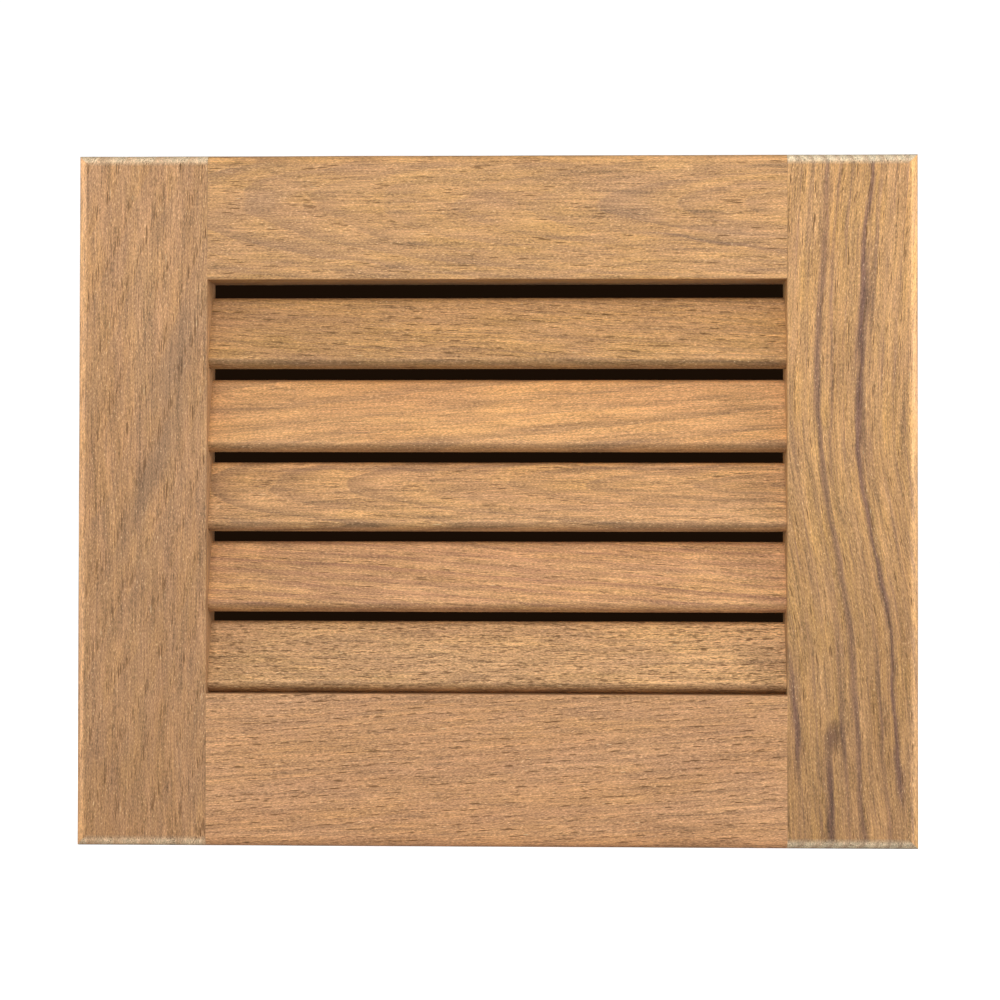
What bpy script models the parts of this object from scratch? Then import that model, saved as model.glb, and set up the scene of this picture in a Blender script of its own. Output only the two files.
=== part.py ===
"""Louvred teak vent panel: two stiles, two rails, five fixed slats and eight dowels.

Metres, +Z up. The front face looks along -Y. The origin is in the middle of the bottom
edge, halfway through the panel's thickness.
"""

from math import atan2, cos, pi, radians, sin

import bmesh
import bpy
from mathutils import Matrix, Vector

# Driving dimensions of the frame
PANEL_WIDTH = 0.3048
PANEL_HEIGHT = 0.251
THICKNESS = 0.022
STILE_WIDTH = 0.0473
TOP_RAIL_HEIGHT = 0.0454
BOTTOM_RAIL_HEIGHT = 0.0553
FRONT_ROUND = 0.0046  # rounding along the outer front edge
BACK_ROUND = 0.0008  # light easing along the outer back edge
GAP = 0.0003  # clearance kept between neighbours

# Driving dimensions of the slats
SLAT_TILT = radians(26)  # from upright, top leaning back
SLAT_THICKNESS = 0.0064
SLAT_ROUND = 0.0026  # rounding of the four long edges
SLAT_SETBACK = 0.003  # panel's front face to the slat's lower front corner
HOUSING_DEPTH = 0.006  # how far a slat's end goes into its stile
# Top slat first: lowest point above the opening's bottom edge, and width
SLATS = (
    (0.1182, 0.0286),
    (0.0878, 0.0288),
    (0.0589, 0.0271),
    (0.0296, 0.0274),
    (0.0006, 0.0271),
)

# Driving dimensions of the dowels
DOWEL_RADIUS = 0.004
DOWEL_LENGTH = 0.038
DOWEL_FLUTES = 16
FLUTE_DEPTH = 0.0003
DOWEL_CHAMFER = 0.001
TOP_DOWEL_PITCH = 0.022
BOTTOM_DOWEL_PITCH = 0.03

OPENING_WIDTH = PANEL_WIDTH - 2 * STILE_WIDTH
OPENING_BOTTOM = BOTTOM_RAIL_HEIGHT
OPENING_TOP = PANEL_HEIGHT - TOP_RAIL_HEIGHT
FRONT_Y = -THICKNESS / 2

ROUND_STEPS = 5
SLAT_ROUND_STEPS = 5
BORE_SIDES = 32
SHARP_ANGLE = radians(30)

STILE_TEAK = ("stile_teak", (0.42, 0.26, 0.14, 1), 0.6)
RAIL_TEAK = ("rail_teak", (0.47, 0.29, 0.15, 1), 0.6)
SLAT_TEAK = ("slat_teak", (0.47, 0.27, 0.12, 1), 0.55)
DOWEL_WOOD = ("dowel_hardwood", (0.62, 0.47, 0.3, 1), 0.65)


def clear_scene():
    for thing in list(bpy.data.objects):
        bpy.data.objects.remove(thing)


def new_collection(name):
    collection = bpy.data.collections.new(name)
    bpy.context.scene.collection.children.link(collection)
    return collection


def material(name, colour, roughness):
    made = bpy.data.materials.get(name)
    if made is None:
        made = bpy.data.materials.new(name)
        made.use_nodes = True
        shader = made.node_tree.nodes["Principled BSDF"]
        shader.inputs["Base Color"].default_value = colour
        shader.inputs["Roughness"].default_value = roughness
        shader.inputs["Metallic"].default_value = 0
    return made


def place(name, mesh, collection, finish=None):
    """Links a mesh as a named object in one collection, shaded smooth up to a sharp angle."""
    mesh.shade_smooth()
    mesh.set_sharp_from_angle(angle=SHARP_ANGLE)
    made = bpy.data.objects.new(name, mesh)
    collection.objects.link(made)
    if finish:
        mesh.materials.append(material(*finish))
    return made


def box_mesh(name, low, high, edge_weight=None):
    """A box between two corners; edge_weight(middle) gives each edge its share of the bevel width."""
    low, high = Vector(low), Vector(high)
    bm = bmesh.new()
    bmesh.ops.create_cube(bm, size=1)
    bmesh.ops.scale(bm, vec=high - low, verts=bm.verts)
    bmesh.ops.translate(bm, vec=(low + high) / 2, verts=bm.verts)
    if edge_weight:
        weights = bm.edges.layers.float.new("bevel_weight_edge")
        for edge in bm.edges:
            edge[weights] = edge_weight((edge.verts[0].co + edge.verts[1].co) / 2)
    mesh = bpy.data.meshes.new(name)
    bm.to_mesh(mesh)
    bm.free()
    return mesh


def round_edges(thing, width, steps):
    bevel = thing.modifiers.new("rounding", "BEVEL")
    bevel.limit_method = "WEIGHT"
    bevel.width = width
    bevel.segments = steps


def perimeter_weight(middle):
    """Full rounding on the panel's outer front edge, light easing on its outer back edge."""
    tiny = 1e-6
    outer = (
        abs(abs(middle.x) - PANEL_WIDTH / 2) < tiny
        or abs(middle.z) < tiny
        or abs(middle.z - PANEL_HEIGHT) < tiny
    )
    if not outer or abs(middle.y) < tiny:
        return 0.0
    return 1.0 if middle.y < 0 else BACK_ROUND / FRONT_ROUND


def cut(thing, cutter):
    boolean = thing.modifiers.new("cut_" + cutter.name, "BOOLEAN")
    boolean.operation = "DIFFERENCE"
    boolean.object = cutter


def as_cutter(thing):
    """Marks an object as one that only cuts others."""
    thing.hide_render = True
    thing.display_type = "WIRE"
    return thing


def slat_centre(lowest, width):
    """Middle of a slat's section, from its lowest point above the opening and its width."""
    half_w, half_t = width / 2, SLAT_THICKNESS / 2
    corner_loss = SLAT_ROUND * (sin(SLAT_TILT) + cos(SLAT_TILT) - 1)
    y = FRONT_Y + SLAT_SETBACK + half_w * sin(SLAT_TILT) + half_t * cos(SLAT_TILT)
    z = OPENING_BOTTOM + lowest + half_w * cos(SLAT_TILT) + half_t * sin(SLAT_TILT) - corner_loss
    return Vector((0, y, z))


def slat_object(name, length, lowest, width, grow, collection, finish=None):
    """A slat lying along X, leaned back about its own middle; grow makes it larger all round."""
    half = Vector((length / 2, SLAT_THICKNESS / 2 + grow, width / 2 + grow))
    mesh = box_mesh(name, -half, half, lambda middle: 1.0 if abs(middle.x) < 1e-6 else 0.0)
    slat = place(name, mesh, collection, finish)
    slat.location = slat_centre(lowest, width)
    slat.rotation_euler.x = -SLAT_TILT
    round_edges(slat, SLAT_ROUND + grow, SLAT_ROUND_STEPS)
    return slat


def dowel_spots():
    """Name, x side and height of each dowel's middle, on the joint between rail and stile."""
    rails = (
        ("top", PANEL_HEIGHT - TOP_RAIL_HEIGHT / 2, TOP_DOWEL_PITCH),
        ("bottom", BOTTOM_RAIL_HEIGHT / 2, BOTTOM_DOWEL_PITCH),
    )
    spots = []
    for rail, middle, pitch in rails:
        for side, sign in (("left", -1), ("right", 1)):
            for level, step in (("upper", 0.5), ("lower", -0.5)):
                spots.append((f"dowel_{rail}_{side}_{level}", sign, middle + step * pitch))
    return spots


def dowel_mesh(name):
    """A fluted dowel along X with chamfered ends."""
    bm = bmesh.new()
    straight = DOWEL_LENGTH - 2 * DOWEL_CHAMFER
    turned = Matrix.Rotation(pi / 2, 4, "Y")
    bmesh.ops.create_cone(
        bm,
        cap_ends=True,
        segments=2 * DOWEL_FLUTES,
        radius1=DOWEL_RADIUS,
        radius2=DOWEL_RADIUS,
        depth=straight,
        matrix=turned,
    )
    caps = [face for face in bm.faces if len(face.verts) > 4]
    valley = 1 - FLUTE_DEPTH / DOWEL_RADIUS
    for vert in bm.verts:
        spoke = round(atan2(vert.co.z, vert.co.y) * DOWEL_FLUTES / pi)
        if spoke % 2:
            vert.co.y *= valley
            vert.co.z *= valley
    end_radius = 1 - DOWEL_CHAMFER / DOWEL_RADIUS
    for cap in caps:
        outward = 1 if cap.calc_center_median().x > 0 else -1
        end = bmesh.ops.extrude_face_region(bm, geom=[cap])
        rim = [item for item in end["geom"] if isinstance(item, bmesh.types.BMVert)]
        bmesh.ops.scale(bm, vec=(1, end_radius, end_radius), verts=rim)
        bmesh.ops.translate(bm, vec=(outward * DOWEL_CHAMFER, 0, 0), verts=rim)
    bmesh.ops.delete(bm, geom=caps, context="FACES_ONLY")
    bmesh.ops.recalc_face_normals(bm, faces=bm.faces)
    mesh = bpy.data.meshes.new(name)
    bm.to_mesh(mesh)
    bm.free()
    return mesh


def bore_mesh(name):
    bm = bmesh.new()
    bmesh.ops.create_cone(
        bm,
        cap_ends=True,
        segments=BORE_SIDES,
        radius1=DOWEL_RADIUS + GAP,
        radius2=DOWEL_RADIUS + GAP,
        depth=DOWEL_LENGTH + 2 * GAP,
        matrix=Matrix.Rotation(pi / 2, 4, "Y"),
    )
    mesh = bpy.data.meshes.new(name)
    bm.to_mesh(mesh)
    bm.free()
    return mesh


def build():
    clear_scene()
    parts = new_collection("louvred_vent_panel")
    cutters = new_collection("cutters")

    stiles = {}
    for side, sign in (("left", -1), ("right", 1)):
        edges = sorted((sign * PANEL_WIDTH / 2, sign * OPENING_WIDTH / 2))
        mesh = box_mesh(
            f"{side}_stile",
            (edges[0], -THICKNESS / 2, 0),
            (edges[1], THICKNESS / 2, PANEL_HEIGHT),
            perimeter_weight,
        )
        stiles[sign] = place(f"{side}_stile", mesh, parts, STILE_TEAK)
        round_edges(stiles[sign], FRONT_ROUND, ROUND_STEPS)

    rails = {}
    half_rail = OPENING_WIDTH / 2 - GAP
    for level, low, high in (("top", OPENING_TOP, PANEL_HEIGHT), ("bottom", 0, OPENING_BOTTOM)):
        mesh = box_mesh(
            f"{level}_rail",
            (-half_rail, -THICKNESS / 2, low),
            (half_rail, THICKNESS / 2, high),
            perimeter_weight,
        )
        rails[level] = place(f"{level}_rail", mesh, parts, RAIL_TEAK)
        round_edges(rails[level], FRONT_ROUND, ROUND_STEPS)

    slat_length = OPENING_WIDTH + 2 * (HOUSING_DEPTH - GAP)
    housing_length = OPENING_WIDTH + 2 * HOUSING_DEPTH
    for number, (lowest, width) in enumerate(SLATS, start=1):
        slat_object(f"slat_{number}", slat_length, lowest, width, 0, parts, SLAT_TEAK)
        housing = as_cutter(slat_object(f"housing_{number}", housing_length, lowest, width, GAP, cutters))
        for stile in stiles.values():
            cut(stile, housing)

    for name, sign, height in dowel_spots():
        joint = Vector((sign * OPENING_WIDTH / 2, 0, height))
        dowel = place(name, dowel_mesh(name), parts, DOWEL_WOOD)
        dowel.location = joint
        bore = as_cutter(place(name + "_bore", bore_mesh(name + "_bore"), cutters))
        bore.location = joint
        cut(stiles[sign], bore)
        cut(rails[name.split("_")[1]], bore)


build()
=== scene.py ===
from math import cos, radians, sin

import bmesh
import bpy
from mathutils import Euler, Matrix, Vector


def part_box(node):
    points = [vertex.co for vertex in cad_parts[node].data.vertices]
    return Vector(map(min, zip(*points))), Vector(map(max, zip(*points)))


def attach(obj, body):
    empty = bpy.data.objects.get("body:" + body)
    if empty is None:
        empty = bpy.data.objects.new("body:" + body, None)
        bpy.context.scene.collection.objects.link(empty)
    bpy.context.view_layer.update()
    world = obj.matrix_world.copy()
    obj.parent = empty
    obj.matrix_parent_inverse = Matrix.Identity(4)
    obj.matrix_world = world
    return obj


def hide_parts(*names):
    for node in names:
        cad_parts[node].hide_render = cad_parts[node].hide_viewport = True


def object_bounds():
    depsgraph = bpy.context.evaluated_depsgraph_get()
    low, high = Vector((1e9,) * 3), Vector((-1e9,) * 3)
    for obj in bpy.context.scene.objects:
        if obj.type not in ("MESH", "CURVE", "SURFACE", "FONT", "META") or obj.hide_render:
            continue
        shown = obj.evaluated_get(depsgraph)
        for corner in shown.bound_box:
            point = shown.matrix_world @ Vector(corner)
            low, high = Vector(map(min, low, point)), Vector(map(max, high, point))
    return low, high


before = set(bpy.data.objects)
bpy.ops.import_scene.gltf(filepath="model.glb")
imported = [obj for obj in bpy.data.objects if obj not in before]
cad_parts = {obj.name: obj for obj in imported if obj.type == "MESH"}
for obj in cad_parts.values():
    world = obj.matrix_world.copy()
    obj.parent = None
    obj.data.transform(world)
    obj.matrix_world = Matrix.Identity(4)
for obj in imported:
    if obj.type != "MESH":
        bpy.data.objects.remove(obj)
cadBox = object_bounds()
print("frame loaded")


# mesh tools

def pickOnly(thing):
    if bpy.context.mode != "OBJECT":
        bpy.ops.object.mode_set(mode="OBJECT")
    bpy.ops.object.select_all(action="DESELECT")
    thing.select_set(True)
    bpy.context.view_layer.objects.active = thing


def addBlock(name, centre, size, turn=0.0):
    bpy.ops.object.select_all(action="DESELECT")
    bpy.ops.mesh.primitive_cube_add(size=1, location=centre, rotation=(turn, 0, 0), scale=size)
    block = bpy.context.object
    block.name = block.data.name = name
    return block


def settle(thing):  # the place goes into the mesh, the object stays at the origin
    pickOnly(thing)
    bpy.ops.object.transform_apply(location=True, rotation=True, scale=True)


def roundEdges(thing, width, segments, wanted):
    pickOnly(thing)
    bpy.ops.object.mode_set(mode="EDIT")
    bpy.ops.mesh.select_mode(type="EDGE")
    bpy.ops.mesh.select_all(action="DESELECT")
    mesh = bmesh.from_edit_mesh(thing.data)
    for edge in mesh.edges:
        middle = (edge.verts[0].co + edge.verts[1].co) / 2
        edge.select = bool(wanted(middle))
    bmesh.update_edit_mesh(thing.data)
    bpy.ops.mesh.bevel(offset=width, segments=segments, profile=0.5, affect="EDGES")
    bpy.ops.object.mode_set(mode="OBJECT")


def gridCuts(thing, low, high, steps):  # planes across each axis, so the faces stay small and even
    pickOnly(thing)
    bpy.ops.object.mode_set(mode="EDIT")
    for axis in range(3):
        normal = [0, 0, 0]
        normal[axis] = 1
        for step in range(1, steps[axis]):
            point = [0, 0, 0]
            point[axis] = low[axis] + (high[axis] - low[axis]) * step / steps[axis]
            bpy.ops.mesh.select_all(action="SELECT")
            bpy.ops.mesh.bisect(plane_co=point, plane_no=normal)
    bpy.ops.object.mode_set(mode="OBJECT")


def cutAway(thing, cutter):
    pickOnly(thing)
    bpy.ops.object.modifier_add(type="BOOLEAN")
    cut = thing.modifiers[-1]
    cut.operation = "DIFFERENCE"
    cut.object = cutter
    bpy.ops.object.modifier_apply(modifier=cut.name)


def handSand(thing, amount, patch):  # a hand-sanded face is never quite flat
    clouds = bpy.data.textures.new(thing.name + "Sanding", "CLOUDS")
    clouds.noise_scale = patch
    pickOnly(thing)
    bpy.ops.object.modifier_add(type="DISPLACE")
    waver = thing.modifiers[-1]
    waver.texture = clouds
    waver.texture_coords = "LOCAL"
    waver.mid_level = 0.5
    waver.strength = amount
    bpy.ops.object.modifier_apply(modifier=waver.name)


def shadeBoard(thing):
    pickOnly(thing)
    bpy.ops.object.shade_smooth_by_angle(angle=radians(30))
    bpy.ops.object.modifier_add(type="WEIGHTED_NORMAL")
    thing.modifiers[-1].keep_sharp = True
    bpy.ops.object.modifier_apply(modifier=thing.modifiers[-1].name)


# node tools

def addNode(tree, kind, **settings):
    made = tree.nodes.new(kind)
    count = len(tree.nodes)
    made.location = 220 * (count // 6), -190 * (count % 6)
    for setting, value in settings.items():
        setattr(made, setting, value)
    return made


def plug(tree, value, socket):
    if isinstance(value, bpy.types.NodeSocket):
        tree.links.new(value, socket)
    else:
        socket.default_value = value


def calc(tree, operation, *values):
    made = addNode(tree, "ShaderNodeMath", operation=operation)
    for value, socket in zip(values, made.inputs):
        plug(tree, value, socket)
    return made.outputs[0]


def vectorCalc(tree, operation, *values):
    made = addNode(tree, "ShaderNodeVectorMath", operation=operation)
    sockets = [made.inputs[0], made.inputs["Scale"]] if operation == "SCALE" else made.inputs
    for value, socket in zip(values, sockets):
        plug(tree, value, socket)
    return made.outputs["Value" if operation in ("LENGTH", "DOT_PRODUCT") else "Vector"]


def split(tree, vector):
    made = addNode(tree, "ShaderNodeSeparateXYZ")
    plug(tree, vector, made.inputs[0])
    return made.outputs


def joined(tree, x, y, z):
    made = addNode(tree, "ShaderNodeCombineXYZ")
    for value, socket in zip((x, y, z), made.inputs):
        plug(tree, value, socket)
    return made.outputs[0]


def fade(tree, value, start, end, low=0.0, high=1.0):
    made = addNode(tree, "ShaderNodeMapRange", interpolation_type="SMOOTHSTEP")
    for item, socket in zip((value, start, end, low, high), made.inputs):
        plug(tree, item, socket)
    return made.outputs["Result"]


def mixColour(tree, amount, first, second, kind="MIX"):
    made = addNode(tree, "ShaderNodeMix", data_type="RGBA", blend_type=kind)
    plug(tree, amount, made.inputs[0])
    plug(tree, first, made.inputs[6])
    plug(tree, second, made.inputs[7])
    return made.outputs[2]


def noise(tree, vector, detail=2.0, rough=0.5, scale=1.0):
    made = addNode(tree, "ShaderNodeTexNoise")
    plug(tree, vector, made.inputs["Vector"])
    made.inputs["Scale"].default_value = scale
    made.inputs["Detail"].default_value = detail
    made.inputs["Roughness"].default_value = rough
    return made.outputs


def newGroup(name, inputs, outputs):
    tree = bpy.data.node_groups.new(name, "ShaderNodeTree")
    for label, value in inputs.items():
        kind = "NodeSocketVector" if isinstance(value, tuple) else "NodeSocketFloat"
        tree.interface.new_socket(label, in_out="INPUT", socket_type=kind).default_value = value
    for label, kind in outputs.items():
        tree.interface.new_socket(label, in_out="OUTPUT", socket_type="NodeSocket" + kind)
    return tree, addNode(tree, "NodeGroupInput").outputs, addNode(tree, "NodeGroupOutput").inputs


def useGroup(tree, group, **values):
    made = addNode(tree, "ShaderNodeGroup", node_tree=group)
    for label, value in values.items():
        plug(tree, value, made.inputs[label])
    return made.outputs


# what teak shows. "Board" is metres along the grain, across the board and out of its face

def makeGrainFlow():
    tree, ins, outs = newGroup("grainFlow", {"Board": (0, 0, 0), "Slope": 0.0, "Bow": 0.0, "Step": 0.0,
                                             "Wave": 0.002, "Stretch": 0.08, "Seed": 0.0}, {"Flow": "Vector"})
    along = split(tree, ins["Board"])[0]
    steepness = calc(tree, "ADD", ins["Slope"], calc(tree, "MULTIPLY", along, ins["Bow"]))
    drift = calc(tree, "MULTIPLY", along, steepness)
    drift = calc(tree, "ADD", drift, fade(tree, along, 0.04, -0.065, 0.0, ins["Step"]))
    drift = joined(tree, 0.0, drift, 0.0)
    size = calc(tree, "DIVIDE", 1.0, ins["Stretch"])
    long = vectorCalc(tree, "MULTIPLY", ins["Board"], (1, 2.6, 2.6))
    place = vectorCalc(tree, "SCALE", long, size)
    place = vectorCalc(tree, "ADD", place, joined(tree, ins["Seed"], ins["Seed"], 0.0))
    swing = vectorCalc(tree, "SUBTRACT", noise(tree, place, 2.0, 0.45)["Color"], (0.5, 0.5, 0.5))
    swing = vectorCalc(tree, "SCALE", vectorCalc(tree, "MULTIPLY", swing, (0, 2, 2)), ins["Wave"])
    flow = vectorCalc(tree, "SUBTRACT", ins["Board"], drift)
    plug(tree, vectorCalc(tree, "ADD", flow, swing), outs["Flow"])
    return tree


def makeGrowthRings():
    tree, ins, outs = newGroup("growthRings", {"Flow": (0, 0, 0), "Heart": (0, 0.05, -0.05),
                                               "Lean": (0, 0, 0), "Spacing": 0.004, "Seed": 0.0},
                               {"Late": "Float", "Early": "Float", "Year": "Float"})
    along = split(tree, ins["Flow"])[0]
    away = vectorCalc(tree, "SUBTRACT", ins["Flow"], ins["Heart"])
    away = vectorCalc(tree, "SUBTRACT", away, vectorCalc(tree, "SCALE", ins["Lean"], along))
    away = vectorCalc(tree, "MULTIPLY", away, (0, 1, 1))
    radius = calc(tree, "DIVIDE", vectorCalc(tree, "LENGTH", away), ins["Spacing"])
    uneven = noise(tree, vectorCalc(tree, "ADD", vectorCalc(tree, "MULTIPLY", ins["Flow"], (9, 60, 60)),
                                    joined(tree, ins["Seed"], 0.0, ins["Seed"])), 2.0, 0.5)[0]
    age = calc(tree, "ADD", calc(tree, "ADD", radius, calc(tree, "MULTIPLY", uneven, 1.1)), ins["Seed"])
    ring = calc(tree, "FRACT", age)
    year = addNode(tree, "ShaderNodeTexWhiteNoise", noise_dimensions="1D")
    plug(tree, calc(tree, "FLOOR", age), year.inputs["W"])
    late = calc(tree, "MULTIPLY", fade(tree, ring, 0.35, 0.93), fade(tree, ring, 1.0, 0.95))
    plug(tree, late, outs["Late"])
    plug(tree, calc(tree, "MULTIPLY", fade(tree, ring, 0.0, 0.05), fade(tree, ring, 0.5, 0.1)), outs["Early"])
    plug(tree, year.outputs["Value"], outs["Year"])
    return tree


def makePores():  # open vessels: short dark dashes along the grain, round dots on end grain
    tree, ins, outs = newGroup("pores", {"Flow": (0, 0, 0), "Length": 0.006, "Width": 0.0006, "Amount": 0.5,
                                         "Seed": 0.0}, {"Pore": "Float", "Fleck": "Float"})
    size = joined(tree, ins["Length"], ins["Width"], ins["Width"])
    place = vectorCalc(tree, "DIVIDE", ins["Flow"], size)
    place = vectorCalc(tree, "ADD", place, joined(tree, ins["Seed"], ins["Seed"], ins["Seed"]))
    cells = addNode(tree, "ShaderNodeTexVoronoi")
    plug(tree, place, cells.inputs["Vector"])
    cells.inputs["Scale"].default_value = 1.0
    luck = split(tree, cells.outputs["Color"])
    reach = calc(tree, "ADD", 0.25, calc(tree, "MULTIPLY", luck[1], 0.75))
    reach = calc(tree, "MULTIPLY", reach, ins["Amount"])
    inside = fade(tree, calc(tree, "DIVIDE", cells.outputs["Distance"], reach), 1.0, 0.55)
    filled = fade(tree, luck[0], 0.955, 0.965)  # a few vessels hold pale deposits
    plug(tree, calc(tree, "MULTIPLY", inside, calc(tree, "SUBTRACT", 1.0, filled)), outs["Pore"])
    core = fade(tree, calc(tree, "DIVIDE", cells.outputs["Distance"], reach), 0.6, 0.3)
    plug(tree, calc(tree, "MULTIPLY", core, filled), outs["Fleck"])
    return tree


def makeFibres():
    tree, ins, outs = newGroup("fibres", {"Flow": (0, 0, 0), "Seed": 0.0},
                               {"Fine": "Float", "Broad": "Float", "Speck": "Float", "Streak": "Float"})
    shift = joined(tree, ins["Seed"], 0.0, ins["Seed"])
    for label, scale, detail in (("Fine", (70, 1600, 1600), 2.0), ("Broad", (26, 380, 380), 3.0),
                                 ("Speck", (1000, 2700, 2700), 1.0)):
        place = vectorCalc(tree, "ADD", vectorCalc(tree, "MULTIPLY", ins["Flow"], scale), shift)
        plug(tree, noise(tree, place, detail, 0.6)[0], outs[label])
    place = vectorCalc(tree, "ADD", vectorCalc(tree, "MULTIPLY", ins["Flow"], (40, 1000, 1000)), shift)
    plug(tree, fade(tree, noise(tree, place, 2.0, 0.6)[0], 0.53, 0.63), outs["Streak"])
    return tree


def makePatches():  # slow change of tone over a board, longer along the grain
    tree, ins, outs = newGroup("patches", {"Flow": (0, 0, 0), "Along": 0.06, "Across": 0.012, "Seed": 0.0},
                               {"Tone": "Float", "Tint": "Float", "Small": "Float"})
    size = joined(tree, ins["Along"], ins["Across"], ins["Across"])
    place = vectorCalc(tree, "DIVIDE", ins["Flow"], size)
    place = vectorCalc(tree, "ADD", place, joined(tree, ins["Seed"], ins["Seed"], 3.0))
    tones = split(tree, noise(tree, place, 3.0, 0.55)["Color"])
    plug(tree, fade(tree, tones[0], 0.32, 0.68), outs["Tone"])
    plug(tree, fade(tree, tones[1], 0.32, 0.68), outs["Tint"])
    plug(tree, fade(tree, noise(tree, place, 5.0, 0.6, 2.6)[0], 0.3, 0.7), outs["Small"])
    return tree


def makeVein():  # one dark mineral line that wanders along the grain
    tree, ins, outs = newGroup("vein", {"Flow": (0, 0, 0), "Across": 0.0, "Slope": 0.0, "Width": 0.001,
                                        "Start": -0.1, "End": 0.1, "Seed": 0.0}, {"Vein": "Float"})
    along, across, out = split(tree, ins["Flow"])
    bend = joined(tree, calc(tree, "MULTIPLY", along, 26.0), ins["Seed"], calc(tree, "MULTIPLY", out, 20.0))
    bend = noise(tree, bend, 3.0, 0.5)[0]
    wander = calc(tree, "MULTIPLY", calc(tree, "SUBTRACT", bend, 0.5), 0.006)
    line = calc(tree, "ADD", ins["Across"], calc(tree, "MULTIPLY", along, ins["Slope"]))
    line = calc(tree, "ADD", line, wander)
    off = calc(tree, "ABSOLUTE", calc(tree, "SUBTRACT", across, line))
    body = joined(tree, calc(tree, "MULTIPLY", along, 60.0), calc(tree, "MULTIPLY", across, 500.0),
                  ins["Seed"])
    body = noise(tree, body, 3.0, 0.6)[0]
    width = calc(tree, "MULTIPLY", ins["Width"], fade(tree, body, 0.25, 0.75, 0.4, 1.6))
    core = fade(tree, calc(tree, "DIVIDE", off, width), 1.6, 0.0)
    soft = 0.012
    begun = fade(tree, calc(tree, "SUBTRACT", along, ins["Start"]), -soft, soft)
    ended = fade(tree, calc(tree, "SUBTRACT", ins["End"], along), -soft, soft)
    plug(tree, calc(tree, "MULTIPLY", core, calc(tree, "MULTIPLY", begun, ended)), outs["Vein"])
    return tree


def makeStain():  # one soft grey-mauve patch
    tree, ins, outs = newGroup("stain", {"Board": (0, 0, 0), "Centre": (0, 0, 0), "Size": (0.02, 0.005, 1),
                                         "Slope": 0.0, "Seed": 0.0}, {"Stain": "Float"})
    along, across = split(tree, vectorCalc(tree, "SUBTRACT", ins["Board"], ins["Centre"]))[:2]
    slanted = calc(tree, "SUBTRACT", across, calc(tree, "MULTIPLY", along, ins["Slope"]))
    place = vectorCalc(tree, "DIVIDE", joined(tree, along, slanted, 0.0), ins["Size"])
    ragged = vectorCalc(tree, "MULTIPLY", ins["Board"], (60, 420, 420))
    ragged = noise(tree, vectorCalc(tree, "ADD", ragged, joined(tree, ins["Seed"], 0.0, 0.0)), 4.0, 0.6)[0]
    reach = calc(tree, "ADD", vectorCalc(tree, "LENGTH", place), calc(tree, "MULTIPLY", ragged, 0.9))
    plug(tree, fade(tree, reach, 1.5, 0.6), outs["Stain"])
    return tree


def makeFaceKind():  # which way a spot faces: end grain, rounded edge, underside
    tree, ins, outs = newGroup("faceKind", {"Normal": (0, 0, 1)},
                               {"End": "Float", "Edge": "Float", "Under": "Float"})
    parts = split(tree, vectorCalc(tree, "ABSOLUTE", ins["Normal"]))
    flattest = calc(tree, "MAXIMUM", calc(tree, "MAXIMUM", parts[0], parts[1]), parts[2])
    plug(tree, fade(tree, parts[0], 0.06, 0.6), outs["End"])
    plug(tree, fade(tree, flattest, 0.995, 0.85), outs["Edge"])
    plug(tree, fade(tree, split(tree, ins["Normal"])[1], -0.15, -0.75), outs["Under"])
    return tree


grainFlow = makeGrainFlow()
growthRings = makeGrowthRings()
pores = makePores()
fibres = makeFibres()
patches = makePatches()
vein = makeVein()
stain = makeStain()
faceKind = makeFaceKind()
print("wood groups made")

upright = Euler((radians(90), 0, radians(90)))  # grain up the board
lying = Euler((radians(-90), 0, 0))  # grain across the panel

usualTeak = {
    "pale": (0.50, 0.30, 0.145, 1), "deep": (0.40, 0.235, 0.115, 1), "warm": (0.52, 0.285, 0.11, 1),
    "dusky": (0.42, 0.225, 0.13, 1), "lateColour": (0.30, 0.165, 0.082, 1),
    "veinColour": (0.15, 0.085, 0.06, 1), "stainColour": (0.34, 0.195, 0.105, 1),
    "poreColour": (0.135, 0.064, 0.025, 1),
    "fleckColour": (0.9, 0.72, 0.42, 1), "endColour": (0.415, 0.33, 0.22, 1),
    "endShow": 0.82,
    "paintedEdgeLight": 0.0, "paintedUnderLight": 0.0,  # painted light: share by which rounded edges and undersides are made lighter or darker, standing in for how light falls on them
    "slope": 0.0, "bow": 0.0, "step": 0.0, "wave": 0.002, "stretch": 0.08,  # how the grain runs
    "heart": (0, 0.12, -0.03), "lean": (0, 0, 0), "spacing": 0.004, "lateShow": 0.35,  # growth rings
    "poreShow": 0.92, "poreAmount": 0.43, "poreLength": 0.008, "poreWidth": 0.0005, "poreLate": 0.5,
    "fineShow": 1.15, "broadShow": 0.95, "speckShow": 1.5, "goldShow": 0.35, "streakShow": 0.38,
    "patchLength": 0.06, "patchWidth": 0.012, "smallShow": 0.35,
    "paintedLightStart": 1.0, "paintedLightEnd": 1.0, "halfLength": 0.12,  # painted light: colour graded from one end of the board to the other, standing in for how light falls along it
    "roughness": 0.5, "specular": 0.3, "bumpStrength": 0.55, "bumpDepth": 0.00012,
    "veins": (),  # each: across, slope, width, start, end, strength
    "stains": (),  # each: across, along, length, width, slope, strength
    "seed": 0.0,
}


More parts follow.
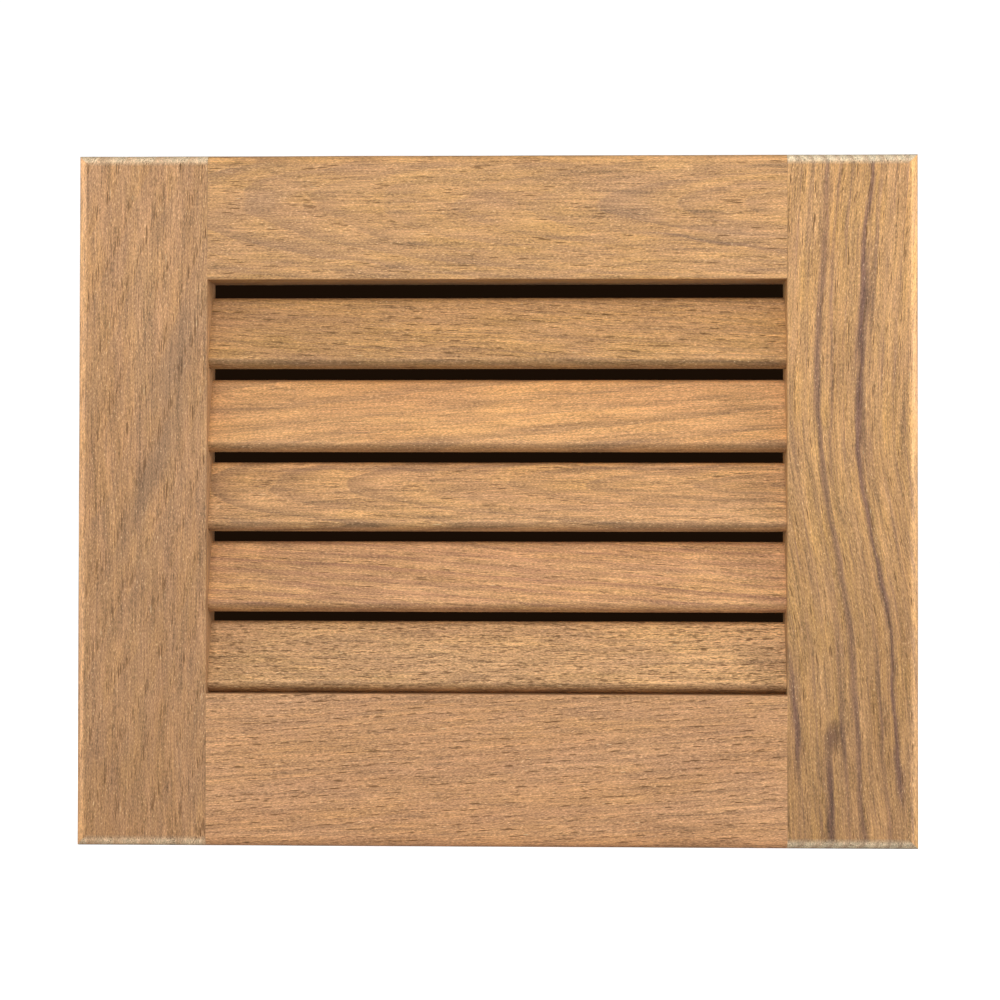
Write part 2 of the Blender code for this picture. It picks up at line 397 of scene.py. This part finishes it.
def makeTeak(name, ownLook, centre, turn):
    look = {**usualTeak, **ownLook}
    finish = bpy.data.materials.new(name)
    finish.use_nodes = True
    tree = finish.node_tree
    shader = tree.nodes["Principled BSDF"]
    seed = look["seed"]
    spots = addNode(tree, "ShaderNodeTexCoord")
    place = addNode(tree, "ShaderNodeMapping", vector_type="POINT")
    place.inputs["Rotation"].default_value = turn
    place.inputs["Location"].default_value = -(turn.to_matrix() @ centre)
    plug(tree, spots.outputs["Object"], place.inputs["Vector"])
    facing = addNode(tree, "ShaderNodeMapping", vector_type="NORMAL")
    facing.inputs["Rotation"].default_value = turn
    plug(tree, spots.outputs["Normal"], facing.inputs["Vector"])
    face = useGroup(tree, faceKind, Normal=facing.outputs[0])

    board = place.outputs[0]
    flow = useGroup(tree, grainFlow, Board=board, Slope=look["slope"], Bow=look["bow"], Step=look["step"],
                    Wave=look["wave"], Stretch=look["stretch"], Seed=seed)["Flow"]
    rings = useGroup(tree, growthRings, Flow=flow, Heart=look["heart"], Lean=look["lean"],
                     Spacing=look["spacing"], Seed=seed)
    patch = useGroup(tree, patches, Flow=flow, Along=look["patchLength"], Across=look["patchWidth"],
                     Seed=seed)
    fibre = useGroup(tree, fibres, Flow=flow, Seed=seed)

    colour = mixColour(tree, patch["Tone"], look["pale"], look["deep"])
    colour = mixColour(tree, calc(tree, "MULTIPLY", patch["Tint"], 0.6), colour, look["warm"])
    colour = mixColour(tree, calc(tree, "MULTIPLY", patch["Small"], look["smallShow"]), colour, look["dusky"])
    lateness = calc(tree, "ADD", 0.35, calc(tree, "MULTIPLY", rings["Year"], 0.65))
    lateness = calc(tree, "MULTIPLY", rings["Late"], lateness)
    colour = mixColour(tree, calc(tree, "MULTIPLY", lateness, look["lateShow"]), colour, look["lateColour"])
    streaky = calc(tree, "ADD", 0.5, calc(tree, "MULTIPLY", rings["Late"], 0.8))
    streaky = calc(tree, "MULTIPLY", fibre["Streak"], streaky)
    colour = mixColour(tree, calc(tree, "MULTIPLY", streaky, look["streakShow"]), colour, look["lateColour"])
    for index, (across, along, length, width, slope, strength) in enumerate(look["stains"]):
        mark = useGroup(tree, stain, Board=board, Centre=(along, across, 0), Size=(length, width, 1),
                        Slope=slope, Seed=seed + index * 3.1)["Stain"]
        colour = mixColour(tree, calc(tree, "MULTIPLY", mark, strength), colour, look["stainColour"])
    for index, (across, slope, width, start, end, strength) in enumerate(look["veins"]):
        mark = useGroup(tree, vein, Flow=flow, Across=across, Slope=slope, Width=width, Start=start, End=end,
                        Seed=seed + index * 1.7)["Vein"]
        colour = mixColour(tree, calc(tree, "MULTIPLY", mark, strength), colour, look["veinColour"])
    colour = mixColour(tree, calc(tree, "MULTIPLY", face["End"], look["endShow"]), colour, look["endColour"])
    endLines = calc(tree, "MULTIPLY", calc(tree, "MULTIPLY", rings["Late"], face["End"]), 0.5)
    colour = mixColour(tree, endLines, colour, look["lateColour"])
    # painted light: the colour is graded from one end of the board to the other, standing in for how the
    # light falls along it
    along = split(tree, board)[0]
    tone = fade(tree, along, -look["halfLength"], look["halfLength"], look["paintedLightStart"], look["paintedLightEnd"])
    # painted light: rounded edges and undersides are made lighter or darker in the colour, standing in for
    # how light falls on them
    for label, share in (("Edge", look["paintedEdgeLight"]), ("Under", look["paintedUnderLight"])):
        change = calc(tree, "ADD", 1.0, calc(tree, "MULTIPLY", face[label], share))
        tone = calc(tree, "MULTIPLY", tone, change)
    grainLight = 0.0
    for label, show in (("Fine", "fineShow"), ("Broad", "broadShow"), ("Speck", "speckShow")):
        uneven = calc(tree, "MULTIPLY", calc(tree, "SUBTRACT", fibre[label], 0.5), look[show])
        grainLight = calc(tree, "ADD", grainLight, uneven)
    light = calc(tree, "MULTIPLY", calc(tree, "ADD", 1.0, grainLight), tone)
    colour = mixColour(tree, 1.0, colour, joined(tree, light, light, light), "MULTIPLY")

    side = calc(tree, "SUBTRACT", 1.0, face["End"])
    gold = calc(tree, "MULTIPLY", side, look["goldShow"])
    gold = calc(tree, "MULTIPLY", fade(tree, fibre["Speck"], 0.66, 0.78), gold)
    colour = mixColour(tree, gold, colour, look["fleckColour"])

    early = calc(tree, "MULTIPLY", rings["Early"], 1.15 - look["poreLate"])
    early = calc(tree, "ADD", look["poreLate"], early)
    big = useGroup(tree, pores, Flow=flow, Length=look["poreLength"], Width=look["poreWidth"],
                   Amount=calc(tree, "MULTIPLY", early, look["poreAmount"]), Seed=seed)
    small = useGroup(tree, pores, Flow=flow, Length=look["poreLength"] * 0.55, Width=look["poreWidth"] * 0.65,
                     Amount=calc(tree, "MULTIPLY", early, look["poreAmount"] * 0.9), Seed=seed + 17.0)
    pore = calc(tree, "MAXIMUM", big["Pore"], calc(tree, "MULTIPLY", small["Pore"], 0.7))
    fleck = calc(tree, "MAXIMUM", big["Fleck"], small["Fleck"])
    colour = mixColour(tree, calc(tree, "MULTIPLY", pore, look["poreShow"]), colour, look["poreColour"])
    colour = mixColour(tree, calc(tree, "MULTIPLY", fleck, 0.6), colour, look["fleckColour"])
    plug(tree, colour, shader.inputs["Base Color"])

    rough = calc(tree, "ADD", look["roughness"], calc(tree, "MULTIPLY", fibre["Broad"], 0.16))
    rough = calc(tree, "ADD", rough, calc(tree, "MULTIPLY", pore, 0.25))
    rough = calc(tree, "ADD", rough, calc(tree, "MULTIPLY", face["End"], 0.12))
    plug(tree, rough, shader.inputs["Roughness"])
    shader.inputs["Specular IOR Level"].default_value = look["specular"]

    height = calc(tree, "SUBTRACT", calc(tree, "MULTIPLY", fibre["Fine"], 0.35), pore)
    height = calc(tree, "ADD", height, calc(tree, "MULTIPLY", rings["Late"], 0.12))
    bump = addNode(tree, "ShaderNodeBump")
    bump.inputs["Strength"].default_value = look["bumpStrength"]
    bump.inputs["Distance"].default_value = look["bumpDepth"]
    plug(tree, height, bump.inputs["Height"])
    plug(tree, bump.outputs[0], shader.inputs["Normal"])
    return finish


def finishPiece(piece, node, material):
    shadeBoard(piece)
    piece.data.materials.clear()
    piece.data.materials.append(material)
    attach(piece, "root")
    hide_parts(node)
    print(piece.name, "made,", len(piece.data.polygons), "faces")


# slats

nearMiddle = 0.001  # an edge whose middle is this near the panel's middle runs along it
slatShape = {
    "tilt": radians(26), "thickness": 0.0064, "edgeRound": 0.0026, "edgeSegments": 8,
    "fit": 0.00006,  # clearance of a slat's end in its housing
    "cells": (48, 2, 6),  # faces along, through and across
    "sanding": 0.00010, "sandingPatch": 0.03,
}


def slatSize(node):  # the leaned slat's own width, worked out from the box round it
    low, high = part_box(node)
    lean, thick = slatShape["tilt"], slatShape["thickness"]
    lost = 2 * slatShape["edgeRound"] * (sin(lean) + cos(lean) - 1)
    width = (high[2] - low[2] + lost - thick * sin(lean)) / cos(lean)
    return (Vector(low) + Vector(high)) / 2, Vector((high[0] - low[0], thick, width))


def addSlatShape(name, size, grow):
    size = size + Vector((2 * grow, 2 * grow, 2 * grow))
    slat = addBlock(name, (0, 0, 0), size)
    settle(slat)
    roundEdges(slat, slatShape["edgeRound"] + grow, slatShape["edgeSegments"],
               lambda middle: abs(middle.x) < nearMiddle)
    return slat


def leanSlat(slat, centre):
    slat.rotation_euler.x = -slatShape["tilt"]
    slat.location = centre
    settle(slat)


def makeSlat(node, look):
    centre, size = slatSize(node)
    slat = addSlatShape(node.replace("_", ""), size, 0)
    gridCuts(slat, -size / 2, size / 2, slatShape["cells"])
    leanSlat(slat, centre)
    handSand(slat, slatShape["sanding"], slatShape["sandingPatch"])
    turn = Euler((slatShape["tilt"] - radians(90), 0, 0))
    finishPiece(slat, node, makeTeak(slat.name + "Teak", look, centre, turn))


# painted light in each slat's last row: colour lighter towards the right end, rounded edges darkened a
# little, undersides darkened as painted shade
makeSlat("slat_1", {
    "pale": (0.546, 0.297, 0.109, 1), "deep": (0.461, 0.246, 0.093, 1), "warm": (0.578, 0.318, 0.104, 1),
    "slope": -0.045, "poreAmount": 0.54, "poreLength": 0.006, "spacing": 0.0024, "heart": (0, -0.16, -0.03),
    "lateShow": 0.5, "paintedLightStart": 0.97, "paintedLightEnd": 1.05, "paintedEdgeLight": -0.1, "paintedUnderLight": -0.46, "seed": 1.3,
})
makeSlat("slat_2", {
    "pale": (0.655, 0.36, 0.155, 1), "deep": (0.601, 0.311, 0.123, 1), "warm": (0.677, 0.35, 0.118, 1),
    "dusky": (0.50, 0.25, 0.12, 1), "slope": 0.035, "poreAmount": 0.33, "poreShow": 0.55, "spacing": 0.007,
    "heart": (0, 0.05, -0.02), "lean": (0, 0.08, 0), "lateShow": 0.55, "fineShow": 0.8, "broadShow": 0.8,
    "paintedLightStart": 0.97, "paintedLightEnd": 1.05, "paintedEdgeLight": -0.1, "paintedUnderLight": -0.4, "seed": 4.1,
})
makeSlat("slat_3", {
    "pale": (0.617, 0.343, 0.145, 1), "deep": (0.529, 0.284, 0.12, 1), "warm": (0.628, 0.343, 0.12, 1),
    "slope": 0.01, "poreAmount": 0.42, "spacing": 0.003, "heart": (0, 0.003, -0.009), "lean": (0, 0, 0.10),
    "lateShow": 0.68, "veins": ((0.0105, 0.01, 0.0007, -0.09, 0.09, 0.45),),
    "paintedLightStart": 0.95, "paintedLightEnd": 1.08, "paintedEdgeLight": -0.1, "paintedUnderLight": -0.32, "seed": 7.7,
})
makeSlat("slat_4", {
    "pale": (0.595, 0.327, 0.146, 1), "deep": (0.496, 0.27, 0.116, 1), "warm": (0.617, 0.327, 0.118, 1),
    "dusky": (0.40, 0.19, 0.11, 1), "lateColour": (0.33, 0.155, 0.085, 1), "slope": -0.055,
    "poreAmount": 0.42, "spacing": 0.0038, "heart": (0, -0.05, -0.02), "lean": (0, -0.02, 0),
    "lateShow": 0.72,
    "paintedLightStart": 0.94, "paintedLightEnd": 1.1, "paintedEdgeLight": -0.1, "paintedUnderLight": -0.25, "seed": 11.2,
})
makeSlat("slat_5", {
    "pale": (0.629, 0.366, 0.167, 1), "deep": (0.536, 0.306, 0.139, 1), "warm": (0.641, 0.366, 0.139, 1),
    "slope": 0.012, "poreAmount": 0.56, "poreLength": 0.0038, "poreWidth": 0.00042, "poreLate": 0.9,
    "fineShow": 1.3, "spacing": 0.003, "heart": (0, 0.2, -0.05), "lateShow": 0.3,
    "paintedLightStart": 0.93, "paintedLightEnd": 1.1, "paintedEdgeLight": -0.1, "paintedUnderLight": -0.25, "seed": 15.9,
})


# frame boards

frameShape = {
    "frontRound": 0.0046, "roundSegments": 10,  # outer front edges
    "backRound": 0.0008, "backSegments": 4,  # outer back edges
    "arris": 0.00025, "arrisSegments": 3,  # edges round the opening
    "reach": 0.00026,  # a rail's end comes this much closer to its stile than the solid does
    "boreRoom": 0.0002, "boreSides": 32,  # round each dowel
    "stileCells": (12, 4, 60), "railCells": (52, 4, 12),
    "sanding": 0.00012, "sandingPatch": 0.035,
}
panelLow, panelHigh = Vector(cadBox[0]), Vector(cadBox[1])
tiny = 0.00001


def outerEdge(middle):
    return (abs(abs(middle.x) - panelHigh.x) < tiny or abs(middle.z - panelLow.z) < tiny
            or abs(middle.z - panelHigh.z) < tiny)


def makeBoard(name, low, high):
    board = addBlock(name, (low + high) / 2, high - low)
    settle(board)
    roundEdges(board, frameShape["frontRound"], frameShape["roundSegments"],
               lambda middle: outerEdge(middle) and abs(middle.y - low.y) < tiny)
    roundEdges(board, frameShape["backRound"], frameShape["backSegments"],
               lambda middle: outerEdge(middle) and abs(middle.y - high.y) < tiny)
    return board


def boreForDowel(board, node):  # room for the dowel that the solid has there
    low, high = (Vector(corner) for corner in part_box(node))
    size = high - low
    room = frameShape["boreRoom"]
    bpy.ops.object.select_all(action="DESELECT")
    bpy.ops.mesh.primitive_cylinder_add(vertices=frameShape["boreSides"], radius=size.z / 2 + room,
                                        depth=size.x + 2 * room, location=(low + high) / 2,
                                        rotation=(0, radians(90), 0))
    bore = bpy.context.object
    settle(bore)
    cutAway(board, bore)
    bpy.data.objects.remove(bore)


dowels = [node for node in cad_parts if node.startswith("dowel")]


def makeStile(node, look):
    low, high = (Vector(corner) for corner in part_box(node))
    side = node.split("_")[0]
    stile = makeBoard(side + "Stile", low, high)
    for number in range(1, 6):
        centre, size = slatSize("slat_%d" % number)
        housing = addSlatShape("housing", size, slatShape["fit"])
        leanSlat(housing, centre)
        cutAway(stile, housing)
        bpy.data.objects.remove(housing)
    for dowel in dowels:
        if side in dowel:
            boreForDowel(stile, dowel)
    gridCuts(stile, low, high, frameShape["stileCells"])
    handSand(stile, frameShape["sanding"], frameShape["sandingPatch"])
    finishPiece(stile, node, makeTeak(stile.name + "Teak", look, (low + high) / 2, upright))


def makeRail(node, look):
    low, high = (Vector(corner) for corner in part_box(node))
    reach = Vector((frameShape["reach"], 0, 0))
    level = node.split("_")[0]
    rail = makeBoard(level + "Rail", low - reach, high + reach)
    inner = low.z if level == "top" else high.z
    roundEdges(rail, frameShape["arris"], frameShape["arrisSegments"],
               lambda middle: abs(middle.z - inner) < tiny and abs(middle.x) < nearMiddle)
    for dowel in dowels:
        if level in dowel:
            boreForDowel(rail, dowel)
    gridCuts(rail, low, high, frameShape["railCells"])
    handSand(rail, frameShape["sanding"], frameShape["sandingPatch"])
    finishPiece(rail, node, makeTeak(rail.name + "Teak", look, (low + high) / 2, lying))


# painted light in each board's last rows: stiles lighter towards the top, top rail lighter to the right,
# rounded edges lightened as painted highlight, top rail underside darkened as painted shade
makeStile("left_stile", {
    "pale": (0.408, 0.226, 0.097, 1), "deep": (0.346, 0.187, 0.079, 1), "warm": (0.4, 0.205, 0.077, 1),
    "stainColour": (0.245, 0.14, 0.072, 1), "poreAmount": 0.52, "poreLength": 0.008, "poreWidth": 0.0004,
    "spacing": 0.011, "heart": (0, 0.25, -0.06), "lean": (0, 0.42, 0), "lateShow": 0.5,
    "stains": ((0.0044, 0.011, 0.038, 0.0075, 0.39, 0.75), (0.0127, 0.052, 0.034, 0.0075, 0.32, 0.75)),
    "paintedLightStart": 0.95, "paintedLightEnd": 1.1, "paintedEdgeLight": 0.65, "seed": 21.0,
})
makeStile("right_stile", {
    "pale": (0.489, 0.269, 0.107, 1), "deep": (0.408, 0.215, 0.078, 1), "warm": (0.468, 0.26, 0.079, 1),
    "dusky": (0.38, 0.215, 0.12, 1), "lateColour": (0.25, 0.135, 0.075, 1),
    "veinColour": (0.16, 0.082, 0.055, 1),
    "stainColour": (0.14, 0.07, 0.04, 1), "endColour": (0.49, 0.42, 0.295, 1), "bow": 0.35, "step": 0.0125,
    "poreLength": 0.007, "streakShow": 0.45, "spacing": 0.0042, "heart": (0, -0.05, -0.03), "lateShow": 0.42,
    "veins": ((0.001, 0.0, 0.0012, -0.11, 0.14, 0.9), (0.0016, 0.0, 0.0026, 0.015, 0.09, 0.6),
              (-0.0135, 0.0, 0.0011, -0.14, 0.14, 0.65), (-0.0095, 0.0, 0.0006, 0.0, 0.14, 0.45),
              (-0.0355, 0.0, 0.0013, -0.099, -0.056, 0.9), (-0.0255, 0.0, 0.0018, -0.14, -0.089, 0.9),
              (-0.005, 0.0, 0.0012, -0.14, -0.05, 0.45), (-0.0185, 0.0, 0.0008, -0.14, -0.03, 0.4)),
    "stains": ((-0.0070, -0.085, 0.008, 0.0045, 0.0, 0.8),),
    "paintedLightStart": 0.86, "paintedLightEnd": 1.18, "paintedEdgeLight": 0.42, "seed": 27.5,
})
makeRail("top_rail", {
    "pale": (0.507, 0.28, 0.109, 1), "deep": (0.45, 0.242, 0.097, 1), "warm": (0.516, 0.28, 0.089, 1),
    "poreAmount": 0.42, "spacing": 0.003, "heart": (0, 0.004, -0.0054), "lean": (0, 0, 0.12),
    "lateShow": 0.62,
    "paintedLightStart": 0.97, "paintedLightEnd": 1.05, "paintedEdgeLight": 0.45, "paintedUnderLight": -0.2, "seed": 33.3,
    "stains": ((0.0042, 0.0476, 0.018, 0.011, 0.0, 0.4), (-0.0067, 0.0838, 0.022, 0.005, -0.1, 0.45),
               (0.006, -0.085, 0.024, 0.006, 0.33, 0.45)),
    "veins": ((-0.0014, -0.1, 0.0006, 0.051, 0.105, 0.55),),
})
makeRail("bottom_rail", {
    "pale": (0.53, 0.291, 0.136, 1), "deep": (0.469, 0.247, 0.112, 1), "warm": (0.54, 0.287, 0.11, 1),
    "slope": 0.06, "poreAmount": 0.54, "poreLength": 0.005, "broadShow": 0.7, "spacing": 0.0024,
    "heart": (0, -0.2, -0.05), "lateShow": 0.42, "paintedEdgeLight": 0.1, "seed": 38.8,
})


# dowels stay as the solids are and get bare beech

def makeBeech():
    finish = bpy.data.materials.new("bareBeech")
    finish.use_nodes = True
    tree = finish.node_tree
    shader = tree.nodes["Principled BSDF"]
    spots = addNode(tree, "ShaderNodeTexCoord")
    fibre = useGroup(tree, fibres, Flow=spots.outputs["Object"], Seed=3.0)
    colour = mixColour(tree, fibre["Broad"], (0.66, 0.49, 0.31, 1), (0.52, 0.36, 0.21, 1))
    colour = mixColour(tree, calc(tree, "MULTIPLY", fibre["Fine"], 0.3), colour, (0.4, 0.25, 0.14, 1))
    plug(tree, colour, shader.inputs["Base Color"])
    rough = calc(tree, "ADD", 0.55, calc(tree, "MULTIPLY", fibre["Fine"], 0.2))
    plug(tree, rough, shader.inputs["Roughness"])
    return finish


beech = makeBeech()
for dowel in dowels:
    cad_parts[dowel].data.materials.clear()
    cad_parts[dowel].data.materials.append(beech)
print("dowels finished")


# studio

studio = {
    "cameraPlace": (0.0316, -0.9574, 0.1097), "cameraTurn": (90.961, -0.099, 1.822), "lens": 94.32,
    "worldLight": 0.15, "whiteSeen": 1.05, "floorSeen": 0.9, "floorLevel": -0.0002,
    # colour of the painted shade seen between the slats
    "paintedShadeSeen": (0.0095, 0.0045, 0.002, 1),
    "lights": {  # place, size, power, spread in degrees
        "keyLight": ((-0.1, -1.6, 0.75), 0.9, 17.8, 180),
        "leftLight": ((-1.5, -0.35, 0.3), 0.9, 10.5, 180),
        "leftFrontLight": ((-1.3, -1.0, 0.3), 0.9, 3.2, 180),
        "rightLight": ((1.5, -0.35, 0.3), 0.9, 22.5, 180),
        "backLight": ((0, 1.65, 0.126), 0.6, 1.2, 14),
    },
    "backShare": 0.5,  # how much light gets into the opening from behind
    "cardInset": 0.0006, "cardOverlap": 0.0002,  # of the painted-shade card in the opening
}


def addLight(name, place, aim, size, power, spread):
    lamp = bpy.data.lights.new(name, "AREA")
    lamp.shape = "SQUARE"
    lamp.size = size
    lamp.energy = power
    lamp.spread = radians(spread)
    made = bpy.data.objects.new(name, lamp)
    bpy.context.scene.collection.objects.link(made)
    made.visible_glossy = spread > 90  # the narrow back light leaves no sheen
    made.location = place
    made.rotation_euler = (Vector(aim) - Vector(place)).to_track_quat("-Z", "Y").to_euler()


panelMiddle = (panelLow + panelHigh) / 2
for lampName, (place, size, power, spread) in studio["lights"].items():
    addLight(lampName, place, panelMiddle, size, power, spread)


def makeFloor():
    bpy.ops.object.select_all(action="DESELECT")
    bpy.ops.mesh.primitive_plane_add(size=40, location=(0, 0, studio["floorLevel"]))
    floor = bpy.context.object
    floor.name = "floor"
    settle(floor)
    finish = bpy.data.materials.new("paleFloor")
    finish.use_nodes = True
    tree = finish.node_tree
    shader = tree.nodes["Principled BSDF"]
    shader.inputs["Base Color"].default_value = (0.86, 0.86, 0.86, 1)
    shader.inputs["Roughness"].default_value = 0.9
    shader.inputs["Specular IOR Level"].default_value = 0.1
    shader.inputs["Emission Color"].default_value = (1, 1, 1, 1)
    path = addNode(tree, "ShaderNodeLightPath")
    glow = calc(tree, "MULTIPLY", path.outputs["Is Camera Ray"], studio["floorSeen"])
    plug(tree, glow, shader.inputs["Emission Strength"])
    floor.data.materials.append(finish)


def makePaintedShadeCard():  # painted shade: a dark card in the opening stands in for the deep shade seen between the slats from in front; from behind it isn't there
    low, high = Vector(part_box("left_stile")[1]), Vector(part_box("right_stile")[0])
    low.z, high.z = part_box("bottom_rail")[1][2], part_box("top_rail")[0][2]
    bpy.ops.object.select_all(action="DESELECT")
    middle = (0, panelHigh.y - studio["cardInset"], (low.z + high.z) / 2)
    bpy.ops.mesh.primitive_plane_add(size=1, location=middle, rotation=(radians(90), 0, 0))
    card = bpy.context.object
    card.name = "paintedShadeCard"
    overlap = studio["cardOverlap"]
    card.scale = (high.x - low.x + 2 * overlap, high.z - low.z + overlap, 1)
    settle(card)
    finish = bpy.data.materials.new("paintedShadeCard")
    finish.use_nodes = True
    tree = finish.node_tree
    tree.nodes.remove(tree.nodes["Principled BSDF"])
    path = addNode(tree, "ShaderNodeLightPath")
    spots = addNode(tree, "ShaderNodeNewGeometry")
    dark = addNode(tree, "ShaderNodeEmission")
    dark.inputs["Color"].default_value = studio["paintedShadeSeen"]
    clear = addNode(tree, "ShaderNodeBsdfTransparent")
    share = fade(tree, path.outputs["Is Camera Ray"], 0.0, 1.0, studio["backShare"], 1.0)
    plug(tree, joined(tree, share, share, share), clear.inputs["Color"])
    mix = addNode(tree, "ShaderNodeMixShader")
    # painted shade: camera and glossy rays that meet the card from in front see its flat dark colour
    seen = calc(tree, "MAXIMUM", path.outputs["Is Camera Ray"], path.outputs["Is Glossy Ray"])
    front = calc(tree, "MULTIPLY", seen, calc(tree, "SUBTRACT", 1.0, spots.outputs["Backfacing"]))
    plug(tree, front, mix.inputs[0])
    plug(tree, clear.outputs[0], mix.inputs[1])
    plug(tree, dark.outputs[0], mix.inputs[2])
    plug(tree, mix.outputs[0], tree.nodes["Material Output"].inputs["Surface"])
    card.data.materials.append(finish)


def makeWorld():
    world = bpy.data.worlds.new("whiteStudio")
    world.use_nodes = True
    tree = world.node_tree
    sky = tree.nodes["Background"]
    sky.inputs["Color"].default_value = (1, 1, 1, 1)
    path = addNode(tree, "ShaderNodeLightPath")
    strength = fade(tree, path.outputs["Is Camera Ray"], 0.0, 1.0, studio["worldLight"], studio["whiteSeen"])
    plug(tree, strength, sky.inputs["Strength"])
    bpy.context.scene.world = world


makeFloor()
makePaintedShadeCard()
makeWorld()

lens = bpy.data.cameras.new("camera")
lens.lens = studio["lens"]
lens.sensor_width = 36
camera = bpy.data.objects.new("camera", lens)
bpy.context.scene.collection.objects.link(camera)
camera.location = studio["cameraPlace"]
camera.rotation_euler = [radians(angle) for angle in studio["cameraTurn"]]
bpy.context.scene.camera = camera
bpy.context.scene.view_settings.view_transform = "Standard"
print("studio ready")
